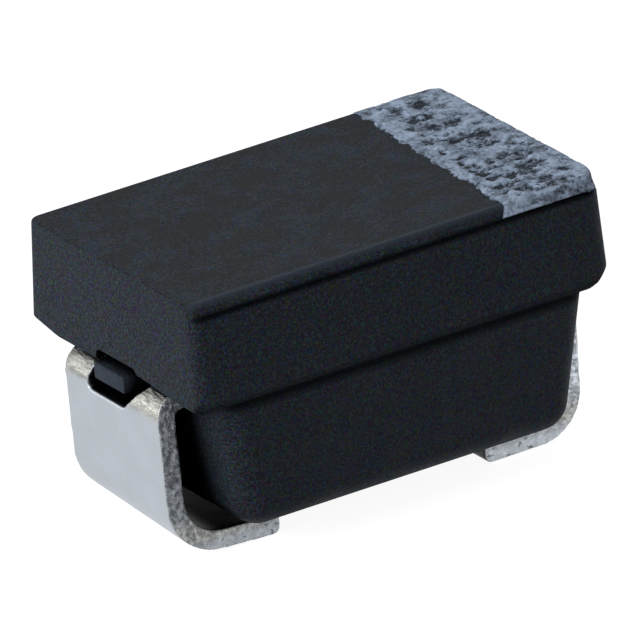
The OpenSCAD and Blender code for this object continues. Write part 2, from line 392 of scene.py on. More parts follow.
def maths(tree, operation, a, b=0.0, clamp=False):
    return node(tree, "ShaderNodeMath", {0: a, 1: b}, operation=operation, use_clamp=clamp).outputs[0]


def times(tree, a, b):
    return maths(tree, "MULTIPLY", a, b)


def plus(tree, a, b):
    return maths(tree, "ADD", a, b)


def most(tree, *values):
    """The greatest of the values."""
    return reduce(lambda a, b: maths(tree, "MAXIMUM", a, b), values)


def span(tree, value, start, end, low=0.0, high=1.0):
    """The value's stretch from start to end, spread from low to high."""
    made = node(tree, "ShaderNodeMapRange", {"Value": value, "From Min": start, "From Max": end,
                                             "To Min": low, "To Max": high})
    return made.outputs["Result"]


def blend_colour(tree, factor, a, b, blend_type="MIX"):
    made = node(tree, "ShaderNodeMix", data_type="RGBA", blend_type=blend_type)
    for socket, value in (("Factor_Float", factor), ("A_Color", a), ("B_Color", b)):
        feed(tree, next(s for s in made.inputs if s.identifier == socket), value)
    return next(s for s in made.outputs if s.identifier == "Result_Color")


def noise_pattern(tree, vector, scale, detail=2.0, roughness=0.5, distortion=0.0):
    made = node(tree, "ShaderNodeTexNoise", {"Vector": vector, "Scale": scale, "Detail": detail,
                                             "Roughness": roughness, "Distortion": distortion})
    return made.outputs["Fac"]


def opaque(rgb):
    return (*rgb, 1.0)


def shade(rgb, factor):
    return tuple(min(1.0, c * factor) for c in rgb)


def tones(tree, factor, rgb, dark, light):
    """From a dark to a light shade of one colour."""
    return blend_colour(tree, factor, opaque(shade(rgb, dark)), opaque(shade(rgb, light)))


def parts(tree, vector):
    return node(tree, "ShaderNodeSeparateXYZ", {0: vector}).outputs


def surface_normal(tree):
    return parts(tree, node(tree, "ShaderNodeTexCoord").outputs["Normal"])


def openness(tree, reach):
    """1 where nothing stands within the reach in metres, and less in a nook."""
    return node(tree, "ShaderNodeAmbientOcclusion", {"Distance": reach}, samples=8).outputs["AO"]


def new_group(name, numbers, results):
    """A shader node group that takes a vector and numbers, with their usual values, and gives numbers."""
    group = bpy.data.node_groups.new(name, "ShaderNodeTree")
    group.interface.new_socket("Vector", in_out="INPUT", socket_type="NodeSocketVector")
    for label, default in numbers.items():
        socket = group.interface.new_socket(label, in_out="INPUT", socket_type="NodeSocketFloat")
        socket.default_value = default
    for label in results:
        group.interface.new_socket(label, in_out="OUTPUT", socket_type="NodeSocketFloat")
    return group, group.nodes.new("NodeGroupInput").outputs, group.nodes.new("NodeGroupOutput").inputs


def grain_group():
    """Fine grain of a moulded or blasted surface, with broad soft mottling."""
    found = bpy.data.node_groups.get("grain")
    if found:
        return found
    numbers = {"Grain Scale": 60.0, "Mottle Scale": 9.0}
    group, given, made = new_group("grain", numbers, ("Grain", "Mottle"))
    fine = noise_pattern(group, given["Vector"], given["Grain Scale"], 3.0, 0.6)
    broad = noise_pattern(group, given["Vector"], given["Mottle Scale"], 3.0, 0.55, 0.3)
    group.links.new(span(group, fine, 0.36, 0.64), made["Grain"])
    group.links.new(span(group, broad, 0.3, 0.7), made["Mottle"])
    return group


def line_group():
    """How near a place is to a straight line along X, from 1 on the line to 0 at its reach."""
    found = bpy.data.node_groups.get("line along x")
    if found:
        return found
    group, given, made = new_group("line along x", {"Y": 0.0, "Z": 0.0, "Reach": 0.02}, ("Near",))
    place = parts(group, given["Vector"])
    across = maths(group, "SUBTRACT", place["Y"], given["Y"])
    up = maths(group, "SUBTRACT", place["Z"], given["Z"])
    away = maths(group, "SQRT", plus(group, times(group, across, across), times(group, up, up)))
    near = maths(group, "SUBTRACT", 1.0, maths(group, "DIVIDE", away, given["Reach"]), clamp=True)
    group.links.new(span(group, near, 0.0, 0.7), made["Near"])
    return group


def use_group(tree, group, inputs):
    return node(tree, "ShaderNodeGroup", inputs, node_tree=group).outputs


def empty_tree(owner):
    """The shader tree of a material or a world, with nothing in it."""
    owner.use_nodes = True
    owner.node_tree.nodes.clear()
    return owner.node_tree


def new_material(name):
    """A material with its tree, its Principled node and object coordinates in bench millimetres."""
    material = bpy.data.materials.new(name)
    tree = empty_tree(material)
    shader = tree.nodes.new("ShaderNodeBsdfPrincipled")
    node(tree, "ShaderNodeOutputMaterial", {"Surface": shader.outputs["BSDF"]})
    place = node(tree, "ShaderNodeTexCoord").outputs["Object"]
    place = node(tree, "ShaderNodeMapping", {"Vector": place, "Scale": (BENCH,) * 3}).outputs["Vector"]
    return material, tree, shader, place


def stretched(tree, place, scale):
    return node(tree, "ShaderNodeMapping", {"Vector": place, "Scale": scale}).outputs["Vector"]


def relief(tree, shader, height, depth, strength=1.0):
    """Bump from a height of 0 to 1 that stands for a depth in metres."""
    bump = node(tree, "ShaderNodeBump", {"Height": height, "Distance": depth, "Strength": strength})
    tree.links.new(bump.outputs["Normal"], shader.inputs["Normal"])


def mask(tree, name):
    """The mask that weigh made."""
    return node(tree, "ShaderNodeAttribute", attribute_name=name + "_mask").outputs["Fac"]


# ---- Finishes ----


def epoxy_surface(tree, shader, rgb, place):
    """Colour and bump height of the moulding compound, mottled on top and plainer on its walls.

    A painted highlight runs along the ridge over the front bevel, and painted light brightens the lugs.
    Painted shade darkens the top a little, and more the bevel's foot, the lip under the front, every nook
    and the end walls behind the leads.
    """
    sizes = bpy.context.scene.chip_case
    high = bench_box("case")[1]
    raised = bpy.context.scene.chip_leads.toe_drop * BENCH
    parting_z, top_z = parting_height() + raised, high.z + raised
    bevel_height, slope = sizes.bevel_height * BENCH, math.tan(sizes.side_draft)
    wall_y = high.y - (high.z - parting_z + raised) * slope
    # Lines along X: the ridge over the bevel gets a painted highlight, the bevel's foot and the lip get
    # painted shade.
    lines = (
        {"Y": -wall_y + sizes.bevel_width * BENCH, "Z": top_z, "Reach": 0.03},
        {"Y": -wall_y - bevel_height * slope, "Z": top_z - bevel_height, "Reach": 0.024},
        {"Y": -high.y + sizes.lip_inset * BENCH, "Z": parting_z, "Reach": 0.055},
    )
    ridge, foot, lip = (use_group(tree, line_group(), {"Vector": place, **line})["Near"] for line in lines)

    grain = use_group(tree, grain_group(), {"Vector": place, "Grain Scale": 95.0, "Mottle Scale": 8.0})
    normal = surface_normal(tree)
    mottle = maths(tree, "SUBTRACT", grain["Mottle"], 0.5)
    mottle = times(tree, mottle, span(tree, normal["Z"], 0.3, 0.9, 0.3, 1.2))
    tint = plus(tree, mottle, grain["Grain"])
    # Painted shade: faces that look up are darkened a little against the overhead lamp.
    tint = maths(tree, "SUBTRACT", tint, span(tree, normal["Z"], 0.6, 0.95, 0.0, 0.2), clamp=True)
    base = tones(tree, tint, rgb, 0.2, 1.85)
    speckle = node(tree, "ShaderNodeTexNoise", {"Vector": place, "Scale": 110.0, "Detail": 1.0})
    speckle = node(tree, "ShaderNodeBrightContrast", {"Color": speckle.outputs["Color"], "Contrast": 1.2})
    base = blend_colour(tree, 0.9, base, speckle.outputs[0], blend_type="OVERLAY")
    # Painted highlight along the ridge over the front bevel.
    base = blend_colour(tree, times(tree, ridge, 0.75), base, opaque(shade(rgb, 2.3)))

    at = parts(tree, place)
    # Painted light on the lugs, which the overhang shades from the key lamp.
    lug_painted_light = times(tree, span(tree, at["Z"], parting_z, parting_z - 0.02),
                   span(tree, maths(tree, "ABSOLUTE", at["X"]), 0.92, 0.93))
    base = blend_colour(tree, times(tree, lug_painted_light, 0.6), base, opaque(shade(rgb, 2.4)))
    # Painted shade: darker in nooks, on the end walls behind the leads, at the bevel's foot and under the
    # lip.
    near, far = openness(tree, 7e-5), openness(tree, 3.5e-4)
    facing_end = maths(tree, "ABSOLUTE", normal["X"])
    shadow_behind_lead = times(tree, span(tree, far, 0.85, 0.45), span(tree, facing_end, 0.5, 0.8))
    painted_shade = most(tree, span(tree, near, 0.92, 0.3), span(tree, far, 0.5, 0.25), shadow_behind_lead,
                  times(tree, most(tree, foot, lip), 0.8))
    base = blend_colour(tree, painted_shade, base, opaque(shade(rgb, 0.12)))
    fill(tree, shader, {"Base Color": base, "Specular IOR Level": span(tree, painted_shade, 0.0, 1.0, 0.12, 0.0),
                        "Roughness": span(tree, grain["Mottle"], 0.0, 1.0, 0.6, 0.75)})
    return base, tint


def moulded_epoxy(rgb):
    material, tree, shader, place = new_material("moulded_epoxy")
    height = epoxy_surface(tree, shader, rgb, place)[1]
    relief(tree, shader, height, 1.2e-6, 0.8)
    return material


def laser_mark(epoxy, rgb):
    """Pale burnt compound with dark pits, which runs out into plain compound."""
    material, tree, shader, place = new_material("laser_mark")
    plain = epoxy_surface(tree, shader, epoxy, place)[0]
    cloud = noise_pattern(tree, stretched(tree, place, (0.8, 1.0, 1.0)), 17.0, 4.0, 0.65, 0.5)
    fine = noise_pattern(tree, place, 75.0, 2.0, 0.6)
    tone = plus(tree, times(tree, cloud, 0.7), times(tree, fine, 0.3))
    pit = times(tree, mask(tree, "pitted"), span(tree, fine, 0.35, 0.6, 1.0, 0.55))
    tone = maths(tree, "SUBTRACT", span(tree, tone, 0.35, 0.58), times(tree, pit, 0.8), clamp=True)
    burnt = blend_colour(tree, tone, opaque(shade(epoxy, 1.3)), opaque(rgb))
    base = blend_colour(tree, mask(tree, "marked"), plain, burnt)
    tree.links.new(base, shader.inputs["Base Color"])
    relief(tree, shader, tone, 5e-6, 0.8)
    return material


def tinned_sheet(name, tin, sheared, upright):
    """Matt tin plate, rougher where it is cut and creased, with painted shade and painted highlights.

    upright scales the tone of the cut edge above the foot; below 1 it paints that edge darker, as shade.
    """
    material, tree, shader, place = new_material(name)
    edge, shoulder = mask(tree, "sheared"), mask(tree, "shoulder")
    grain = use_group(tree, grain_group(), {"Vector": place, "Grain Scale": 90.0, "Mottle Scale": 7.0})
    at = parts(tree, place)
    tan = (tin[0] * 0.90, tin[1] * 0.84, tin[2] * 0.72)

    torn = span(tree, noise_pattern(tree, place, 42.0, 4.0, 0.75), 0.4, 0.6)
    pit = span(tree, noise_pattern(tree, place, 38.0, 2.0, 0.5), 0.62, 0.66)
    smooth = tones(tree, torn, sheared, 0.85, 1.15)
    smooth = blend_colour(tree, times(tree, pit, 0.8), smooth, opaque(shade(sheared, 0.2)))
    # The cut edge is rough above the foot. upright scales its tone there, and below 1 that is painted shade.
    rough = tones(tree, torn, sheared, 0.45 * upright, 1.5 * upright)
    cut = blend_colour(tree, span(tree, at["Z"], 0.10, 0.20), smooth, rough)
    heel = times(tree, span(tree, at["Z"], 0.04, 0.09), span(tree, at["Z"], 0.20, 0.13))
    cut = blend_colour(tree, times(tree, heel, 0.8), cut, tones(tree, torn, tan, 0.3, 1.25))

    crease = noise_pattern(tree, stretched(tree, place, (2.0, 0.45, 2.0)), 24.0, 3.0, 0.6, 0.4)
    crease = span(tree, crease, 0.35, 0.65)
    parting_z = parting_height()
    # The shoulder's creased tan is painted darker towards the parting plane: painted shade under the
    # overhang.
    folded = blend_colour(tree, span(tree, at["Z"], parting_z - 0.07, parting_z - 0.02),
                          tones(tree, crease, tan, 0.6, 1.2), tones(tree, crease, tan, 0.35, 0.75))

    base = blend_colour(tree, edge, tones(tree, grain["Mottle"], tin, 0.96, 1.03), cut)
    # Paler tan along the border of the cut edge: a painted highlight.
    burr_highlight = times(tree, span(tree, edge, 0.02, 0.2), span(tree, edge, 0.6, 0.35))
    base = blend_colour(tree, times(tree, burr_highlight, torn), base, opaque(shade(tan, 1.35)))
    base = blend_colour(tree, shoulder, base, folded)
    # Painted shade: the tin goes near black wherever it faces the case or sits in a nook, but not on cut
    # edges or outward faces.
    outward = times(tree, surface_normal(tree)["X"], maths(tree, "SIGN", at["X"]))
    lit = most(tree, span(tree, openness(tree, 2.2e-4), 0.5, 0.9), edge, span(tree, outward, 0.2, 0.6))
    base = blend_colour(tree, lit, opaque(shade(tin, 0.015)), base)

    dull_and_shaded = plus(tree, span(tree, grain["Grain"], 0.0, 1.0, 0.40, 0.47), times(tree, shoulder, -0.14))
    fill(tree, shader, {"Base Color": base, "Metallic": 1.0, "Roughness": dull_and_shaded})
    worn = plus(tree, times(tree, edge, torn), times(tree, shoulder, crease))
    relief(tree, shader, plus(tree, times(tree, grain["Grain"], 0.15), worn), 3e-6, 0.7)
    return material


def grained_finish(name, rgb, metallic, roughness, grain_scale, contrast, depth):
    """A finish with even grain, for the pieces inside the case."""
    material, tree, shader, place = new_material(name)
    grain = use_group(tree, grain_group(), {"Vector": place, "Grain Scale": grain_scale,
                                            "Mottle Scale": grain_scale / 7})
    fill(tree, shader, {
        "Base Color": tones(tree, grain["Grain"], rgb, 1 - contrast, 1 + contrast),
        "Metallic": metallic,
        "Roughness": span(tree, grain["Mottle"], 0.0, 1.0, roughness - 0.06, roughness + 0.06)})
    relief(tree, shader, grain["Grain"], depth)
    return material


# Colour, metallic, roughness, grain scale, contrast, and bump depth in metres.
HIDDEN_FINISHES = {
    "sintered_metal": ((0.20, 0.20, 0.22), 0.9, 0.62, 55.0, 0.35, 4e-6),
    "drawn_wire": ((0.42, 0.43, 0.47), 1.0, 0.3, 80.0, 0.1, 1e-6),
    "oxide_coat": ((0.035, 0.033, 0.032), 0.0, 0.75, 70.0, 0.3, 3e-6),
    "graphite_paint": ((0.022, 0.022, 0.024), 0.1, 0.55, 90.0, 0.25, 2e-6),
    "silver_paint": ((0.60, 0.60, 0.58), 0.85, 0.45, 90.0, 0.15, 2e-6),
    "washer_plastic": ((0.80, 0.80, 0.77), 0.0, 0.4, 50.0, 0.05, 1e-6),
    "weld_metal": ((0.36, 0.36, 0.38), 1.0, 0.35, 40.0, 0.25, 3e-6),
}


# ---- Case ----

# The flat cuts that wore each broken corner of the overhang: how far each reaches along the end, along the
# side and up. All of these are in bench millimetres.
ANODE_CORNER_CUTS = ((0.24, 0.126, 0.109), (0.20, 0.086, 0.136), (0.12, 0.041, 0.192), (0.28, 0.145, 0.076))
CATHODE_CORNER_CUTS = ((0.25, 0.13, 0.045),)
# Cutters reach out to here along X, which is beyond both ends.
CLEAR_X = 1.1
# How far the lower half reaches up into the upper one.
OVERLAP = 0.05
# The slot in a terminal, the lug that fills it, the space over the lug, and the overhang's worn lower edge.
# Front and rear are along Y, and depths and heights are from the parting plane.
SLOT = SimpleNamespace(front=-0.085, rear=0.198, depth=0.14, flare=0.17, lean=0.05, start_x=0.8)
LUG = SimpleNamespace(front=-0.08, rear=0.145, depth=0.08, top=0.006, root_x=0.75, face_x=0.985, edge=0.006)
POCKET = SimpleNamespace(front=-0.165, rear=0.14, height=0.05, back_x=0.895, edge=0.03)
ARCH = SimpleNamespace(front=-0.5, flat_front=-0.2, flat_rear=0.12, rear=0.145, rise=0.028, back_x=0.93)


def facing(axis, sign):
    """The test for a face whose normal runs along an axis, up it for 1 or down it for -1."""
    return lambda face: face.normal[axis] * sign > 0.9


def is_sharp(edge):
    return len(edge.link_faces) == 2 and edge.calc_face_angle(0) > math.radians(50)


def between(edge, one, other):
    """Whether one of the edge's faces passes one test and the other face the other."""
    if len(edge.link_faces) != 2:
        return False
    a, b = edge.link_faces
    return (one(a) and other(b)) or (one(b) and other(a))


def upper_half(sizes):
    """The half above the parting plane, with draft, bevel, rounded corners and two corners broken away."""
    high = bench_box("case")[1]
    parting_z, top_z = parting_height(), high.z
    half_x = sizes.upper_length * BENCH / 2
    lip = sizes.lip * BENCH
    slope = math.tan(sizes.side_draft)
    half_y = high.y + lip * slope
    top_x = half_x - (top_z - parting_z) * math.tan(sizes.upper_end_draft)
    top_y = half_y - (top_z - parting_z) * slope
    half = new_block("upper half", (-half_x, -half_y, parting_z), (half_x, half_y, top_z))
    taper(half, facing(2, 1), (top_x / half_x, top_y / half_y, 1))

    bevel_z = top_z - sizes.bevel_height * BENCH
    bevel_y = sizes.bevel_width * BENCH
    foot = (0, -(half_y - (bevel_z - parting_z) * slope), bevel_z)
    head = (0, -(top_y - bevel_y), top_z)
    slice_off(half, *plane_through(foot, head, (1, *head[1:]), (0, -2 * half_y, 2 * top_z)))

    def is_end(face):
        return abs(face.normal.x) > 0.9

    def is_flat(face):
        return abs(face.normal.z) > 0.995

    def is_side(face):
        return not is_end(face) and not is_flat(face)

    def is_worn(edge):
        return between(edge, is_end, is_side) and edge.verts[0].co.x > 0 > edge.verts[0].co.y

    round_edges(half, is_worn, sizes.worn_corner * BENCH, 8, 1)
    round_edges(half, lambda e: between(e, is_end, is_side) and is_sharp(e), sizes.corner * BENCH, 6, 3)
    round_edges(half, is_sharp, sizes.crisp_edge * BENCH, 2, 4)

    turns = [math.radians(90 * step / 5) for step in range(6)]
    for side in (-1, 1):
        curve = [(0, side * (high.y - sizes.lip_inset * BENCH * (1 - math.sin(turn))),
                  parting_z + lip * (1 - math.cos(turn))) for turn in turns]
        for start, end in zip(curve, curve[1:]):
            slice_off(half, *plane_through(start, end, (1, *end[1:]), (0, 2 * side * half_y, 0)))

    groove = new_block("groove", (-0.935, foot[1] - 0.005, foot[2] - 0.006),
                       (0.95, foot[1] + 0.005, foot[2] + 0.006))
    pick_all(groove)
    bpy.ops.transform.rotate(value=math.radians(45), orient_axis="X", center_override=foot)
    combine(half, groove, "DIFFERENCE")
    for corner, cuts in (((half_x, -half_y, parting_z), ANODE_CORNER_CUTS),
                         ((-half_x, half_y, parting_z), CATHODE_CORNER_CUTS)):
        for along_end, along_side, rise in cuts:
            corner = Vector(corner)
            on_end = corner - Vector((0, math.copysign(along_end, corner.y), 0))
            on_side = corner - Vector((math.copysign(along_side, corner.x), 0, 0))
            slice_off(half, *plane_through(on_end, on_side, corner + Vector((0, 0, rise)), corner))
    return half


def lower_half(sizes):
    """The half below the parting plane. It reaches up into the upper half, to be joined there."""
    low, high = bench_box("case")
    parting_z = parting_height()
    end_slope, side_slope = math.tan(sizes.lower_end_draft), math.tan(sizes.side_draft)
    half_x = (sizes.upper_length / 2 - sizes.end_recess) * BENCH
    half_y = high.y - sizes.side_step * BENCH
    top_x, top_y = half_x + OVERLAP * end_slope, half_y + OVERLAP * side_slope
    bottom_x = half_x - (parting_z - low.z) * end_slope
    bottom_y = half_y - (parting_z - low.z) * side_slope
    half = new_block("lower half", (-top_x, -top_y, low.z), (top_x, top_y, parting_z + OVERLAP))
    taper(half, facing(2, -1), (bottom_x / top_x, bottom_y / top_y, 1))

    def is_below(edge):
        return not any(map(facing(2, 1), edge.link_faces))

    round_edges(half, is_below, sizes.lower_edge * BENCH, 7, 8)
    return half


def lug_pocket(side):
    """The space above a lug, in the overhang's underside; side is 1 at the anode end and -1 at the other."""
    parting_z = parting_height()
    pocket = new_block("pocket", (side * POCKET.back_x, POCKET.front, parting_z - POCKET.height),
                       (side * CLEAR_X, POCKET.rear, parting_z + POCKET.height))

    def is_upper(edge):
        return between(edge, facing(2, 1), lambda f: abs(f.normal.y) > 0.9)

    round_edges(pocket, is_upper, POCKET.edge, 3, 2)
    return pocket


def lug(side):
    """The moulded lug that fills the slot in a terminal."""
    parting_z = parting_height()
    face_x = side * LUG.face_x - bpy.context.scene.chip_leads.offset * BENCH
    made = new_block("lug", (side * LUG.root_x, LUG.front, parting_z - LUG.depth),
                     (face_x, LUG.rear, parting_z - LUG.top))
    round_edges(made, is_sharp, LUG.edge, 2, 12)
    return made


def worn_arch(side):
    """Cutter for a shallow arch in the overhang's lower edge, over the terminal's shoulder."""
    parting_z = parting_height()
    head_z = parting_z + ARCH.rise
    arch = new_block("arch", (side * ARCH.back_x, ARCH.front, parting_z - 0.05),
                     (side * CLEAR_X, ARCH.rear, head_z))
    for foot_y, head_y in ((ARCH.front, ARCH.flat_front), (ARCH.rear, ARCH.flat_rear)):
        slice_off(arch, *plane_through((0, foot_y, parting_z), (0, head_y, head_z), (1, foot_y, parting_z),
                                       (0, foot_y, head_z)))
    return arch


def mark_recess(sizes, mark):
    """Cutters that sink the case's top and bevel under the polarity mark, short of its ragged border."""
    low, high = bench_box("polarity_band")
    skin, start_x = mark.skin * BENCH, mark_start(mark, high.y) + mark.fringe * BENCH
    end_x, above_z = high.x + 0.1, high.z + 0.1
    half_width = high.y + 0.1
    top = new_block("recess", (start_x, -half_width, high.z - skin), (end_x, half_width, above_z))
    head_y = low.y + sizes.bevel_width * BENCH + sizes.bevel_height * BENCH * math.tan(sizes.side_draft)
    bevel = new_block("recess", (start_x, low.y - 0.05, low.z + 0.006), (end_x, head_y + 0.01, above_z))
    point, normal = plane_through((0, low.y, low.z), (0, head_y, high.z), (1, head_y, high.z), (0, 0, 0))
    slice_off(bevel, point + normal * skin, normal)
    return top, bevel


class CHIP_OT_case(bpy.types.Operator):
    """Models the moulded case round the frame's inner pieces."""

    bl_idname = "chip.case"
    bl_label = "Moulded case"

    def execute(self, context):
        sizes, colours = context.scene.chip_case, context.scene.chip_colours
        case = upper_half(sizes)
        for side in (-1, 1):
            combine(case, lug_pocket(side), "DIFFERENCE")
            combine(case, worn_arch(side), "DIFFERENCE")
        combine(case, lower_half(sizes), "UNION")
        for side in (-1, 1):
            combine(case, lug(side), "UNION")
        for cutter in mark_recess(sizes, context.scene.chip_mark):
            combine(case, cutter, "DIFFERENCE")
        deliver(case, "moulded_case", "case", moulded_epoxy(colours.epoxy), smooth_angle=32)
        return {"FINISHED"}


# ---- Polarity mark ----


def mark_start(mark, y):
    """Where the mark's inner border lies along X, at a place across the case."""
    return mark.start * BENCH + mark.slant * y


class CHIP_OT_mark(bpy.types.Operator):
    """Models the laser-marked skin over the anode end of the top."""

    bl_idname = "chip.mark"
    bl_label = "Polarity mark"

    def execute(self, context):
        mark, colours = context.scene.chip_mark, context.scene.chip_colours
        low, high = bench_box("polarity_band")
        slab_depth = 0.12
        band = upper_half(context.scene.chip_case)
        slice_off(band, (mark_start(mark, low.y) - mark.fringe * BENCH, 0, 0), (-1, 0, 0))
        slice_off(band, (0, 0, high.z - slab_depth), (0, 0, -1))
        remesh(band, mark.mesh_size * BENCH)
        foot_z = high.z - context.scene.chip_case.bevel_height * BENCH + 0.003
        pick(band, "faces", lambda f: f.normal.z < 0.35 or f.calc_center_median().z < foot_z)
        bpy.ops.mesh.delete(type="FACE")
        leave_edit()

        def burnt(p, n):
            ragged = 0.02 * noise.noise(p * 22) + 0.016 * noise.noise(p * 60)
            border = mark_start(mark, p.y)
            return ramp(p.x + ragged, border - 0.012, border + 0.016)

        def inner(p, n):
            """1 on the flat of the top and 0 along its edges."""
            return ramp(min(high.x - p.x, high.y - abs(p.y)), 0.03, 0.09) * ramp(n.z, 0.8, 0.97)

        def pitted(p, n):
            warp = noise.noise_vector(p * 24) * 0.4
            near, cells = noise.voronoi(Vector((p.x * 11, p.y * 16, 0)) + warp)
            size = 0.30 + 0.5 * abs(noise.noise(cells[0] * 7.7))
            border = mark_start(mark, p.y)
            in_cell = ramp(near[0], size + 0.14, size - 0.1)
            return in_cell * ramp(p.x, border + 0.04, border + 0.1) * (0.3 + 0.7 * inner(p, n))

        weigh(band, "marked", burnt)
        weigh(band, "pitted", pitted)
        weigh(band, "plain", lambda p, n: 1 - burnt(p, n))
        weigh(band, "rough", lambda p, n: burnt(p, n) * (0.15 + 0.85 * inner(p, n)))
        swell(band, -mark.sunk * BENCH, "plain")
        swell(band, mark.sunk * BENCH, "marked")
        swell(band, -mark.relief * BENCH, "pitted")
        emboss(band, mark.relief * BENCH, 0.03, "rough")
        modify(band, "SOLIDIFY", thickness=mark.skin * BENCH, offset=-1)
        finish = laser_mark(colours.epoxy, colours.mark)
        deliver(band, "laser_marked_band", "polarity_band", finish)
        return {"FINISHED"}


# ---- Lead frame ----


# Widths of the sheet inside the case, and where the cathode terminal turns down to its paddle, along X.
ANODE_TAB_WIDTH, CATHODE_TAB_WIDTH = 0.36, 0.58
PADDLE_TURN_X = 0.795
# The trimmed sheet is narrow from its inner end out to here, along X.
SHELF_X = 0.76
# Relief of the sheet: where it lies, its height and its grain.
SHEET_RELIEF = (("sheared", 0.007, 0.018), ("shoulder", 0.006, 0.03), ("", 0.0016, 0.05))


class Bender:
    """Carries the end face that is picked along a strip's centre line, in the XZ plane."""

    def __init__(self, x, z, sheet):
        self.place, self.heading, self.half_sheet = Vector((x, 0, z)), 0.0, sheet / 2

    def ahead(self, turn=0.0):
        angle = self.heading + turn
        return Vector((math.cos(angle), 0, math.sin(angle)))

    def run(self, distance):
        bpy.ops.mesh.extrude_region_move(TRANSFORM_OT_translate={"value": self.ahead() * distance})
        self.place += self.ahead() * distance

    def bend(self, angle, inner_radius, steps):
        """Turns left, from +X towards +Z, for a positive angle."""
        side = math.copysign(math.pi / 2, angle)
        radius = inner_radius + self.half_sheet
        centre = self.place + self.ahead(side) * radius
        bpy.ops.mesh.spin(steps=steps, angle=angle, center=centre, axis=(0, 1, 0))
        self.heading += angle
        self.place = centre - self.ahead(side) * radius


def slot_cutter(parting_z):
    """Fills the slot that is stamped in a terminal at the anode end: steep behind, flared in front."""
    floor_z, lip_y = parting_z - SLOT.depth, SLOT.front - SLOT.flare
    cutter = new_block("slot", (SLOT.start_x, lip_y, floor_z), (CLEAR_X, SLOT.rear, parting_z + 0.3))
    slice_off(cutter, *plane_through((1, SLOT.front, floor_z), (1, lip_y, floor_z + SLOT.flare),
                                     (0, SLOT.front, floor_z), (1, lip_y, floor_z)))
    slice_off(cutter, *plane_through((1, SLOT.rear, floor_z), (1, SLOT.rear - SLOT.lean, parting_z),
                                     (0, SLOT.rear, floor_z), (1, SLOT.rear, parting_z)))
    round_edges(cutter, lambda e: between(e, facing(2, -1), lambda f: f.normal.y > 0.7), 0.045, 4)
    round_edges(cutter, lambda e: between(e, facing(2, -1), lambda f: f.normal.y < -0.5), 0.02, 3)
    return cutter


def lead(sizes, name, foot_length, foot_bend, sag, inner_width, inside):
    """A terminal at the anode end; inside carries its end face on from the shoulder into the case."""
    high = bench_box("anode_terminal")[1]
    parting_z, angle = high.z, sizes.upright_angle
    sheet, width = sizes.sheet * BENCH, sizes.width * BENCH
    foot_mid, sag = foot_bend * BENCH - sheet / 2, sag * BENCH
    shoulder_mid = sizes.shoulder_bend * BENCH - sheet / 2
    rise = parting_z + sag - sheet - foot_mid * (1 - math.cos(angle)) - shoulder_mid * (1 + math.cos(angle))
    upright = rise / math.sin(angle)
    reach = (foot_mid * math.sin(angle) + upright * math.cos(angle) + shoulder_mid * (1 - math.sin(angle))
             + sheet / 2)
    foot_start, foot_end = high.x - foot_length * BENCH, high.x - reach

    strip = new_block(name, (foot_start, -width / 2, -sag), (foot_end, width / 2, sheet - sag))
    pick(strip, "faces", facing(0, -1))
    bpy.ops.transform.translate(value=(0, 0, sag - sizes.toe_drop * BENCH))
    leave_edit()
    round_edges(strip, lambda e: between(e, facing(0, -1), facing(2, -1)), 0.035, 4)
    pick(strip, "faces", facing(0, 1))
    bender = Bender(foot_end, sheet / 2 - sag, sheet)
    bender.bend(angle, foot_mid - sheet / 2, 20)
    bender.run(upright)
    bender.bend(math.pi - angle, shoulder_mid - sheet / 2, 14)
    inside(bender)
    leave_edit()
    merge_close(strip, 1e-5)
    normals_out(strip)

    case_bottom_z = bench_box("case")[0].z
    for side in (-1, 1):
        trim = new_block("trim", (-1, side * inner_width / 2, case_bottom_z),
                         (SHELF_X, side * width, parting_z + 0.1))
        combine(strip, trim, "DIFFERENCE")
    combine(strip, slot_cutter(parting_z), "DIFFERENCE")
    return strip


def weather(piece, sizes, parting_z, side):
    """Gives the sheet its torn edges and its creased shoulder; side is 1 at the anode end."""
    remesh(piece, sizes.mesh_size * BENCH)
    modify(piece, "SMOOTH", iterations=3, factor=0.5)
    weigh(piece, "sheared", lambda p, n: ramp(abs(n.y), 0.55, 0.85) if abs(p.y) > 0.3 else 0.0)
    weigh(piece, "shoulder", lambda p, n: ramp(p.z, parting_z - 0.13, parting_z - 0.09)
          * ramp(side * p.x, 0.84, 0.88) * ramp(abs(n.y), 0.8, 0.5))
    for group, height, grain in SHEET_RELIEF:
        emboss(piece, height, grain, group)


